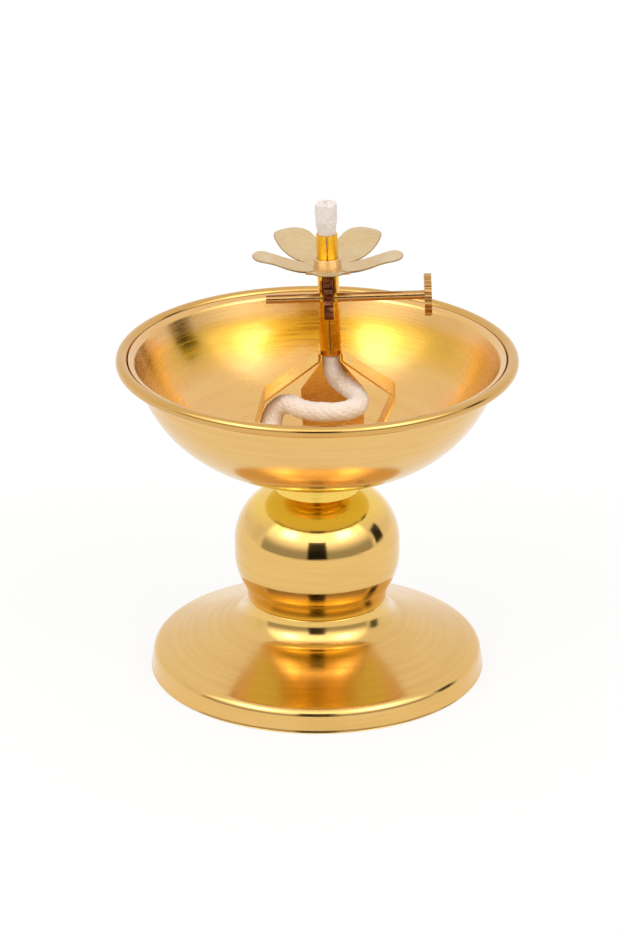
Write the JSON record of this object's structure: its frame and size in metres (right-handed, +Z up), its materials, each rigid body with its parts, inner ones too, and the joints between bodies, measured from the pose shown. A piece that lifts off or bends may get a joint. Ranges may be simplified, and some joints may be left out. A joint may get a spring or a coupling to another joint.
{
  "type": "butter lamp",
  "caption": "Footed butter lamp: open bowl on a ball stem and flared foot, with a loose wick stand that has a petal flower and a thumb wheel to feed the wick.",
  "frame": {"origin": "middle of the foot's hem, on the surface that the lamp stands on", "axes": "+Z up along the axis of foot, stem and bowl, +X towards the thumb wheel, -Y towards the viewer"},
  "size_m": [0.09, 0.09, 0.1111],
  "materials": {
    "gold": "polished, gold coloured",
    "pale_gold": "satin, pale gold",
    "dull_brass": "drawn, a little tarnished",
    "steel": "plain zinc plated",
    "cotton": "braided off-white cotton"
  },
  "bodies": {
    "stand": {"foot": "gold", "stem": "gold", "bowl": "gold", "tie_stud": "steel", "clamp_washer": "steel", "clamp_nut": "steel"},
    "holder": {"wick_stand": "gold", "flower": "pale_gold", "wick_tail": "cotton"},
    "adjuster": {"adjuster_shaft": "dull_brass", "star_wheel": "dull_brass", "thumb_wheel": "dull_brass"},
    "wick_length": {"wick": "cotton"}
  },
  "joints": [
    {"name": "holder_lift", "type": "slide", "parent": "stand", "child": "holder", "axis": [0, 0, 1], "range_m": [0, 0.07]},
    {"name": "adjuster_turn", "type": "hinge", "parent": "holder", "child": "adjuster", "pos_m": [0.00248, -0.00715, 0.09168], "axis": [0.9995, 0, 0.0332], "range_deg": [-45, 90]},
    {"name": "wick_feed", "type": "slide", "parent": "holder", "child": "wick_length", "axis": [-0.0332, 0, 0.9995], "range_m": [-0.004, 0.008], "deforming": ["wick_tail"]}
  ],
  "couplings": [
    {"joint": "adjuster_turn", "follows": "wick_feed", "rad_per_m": 196.08}
  ]
}
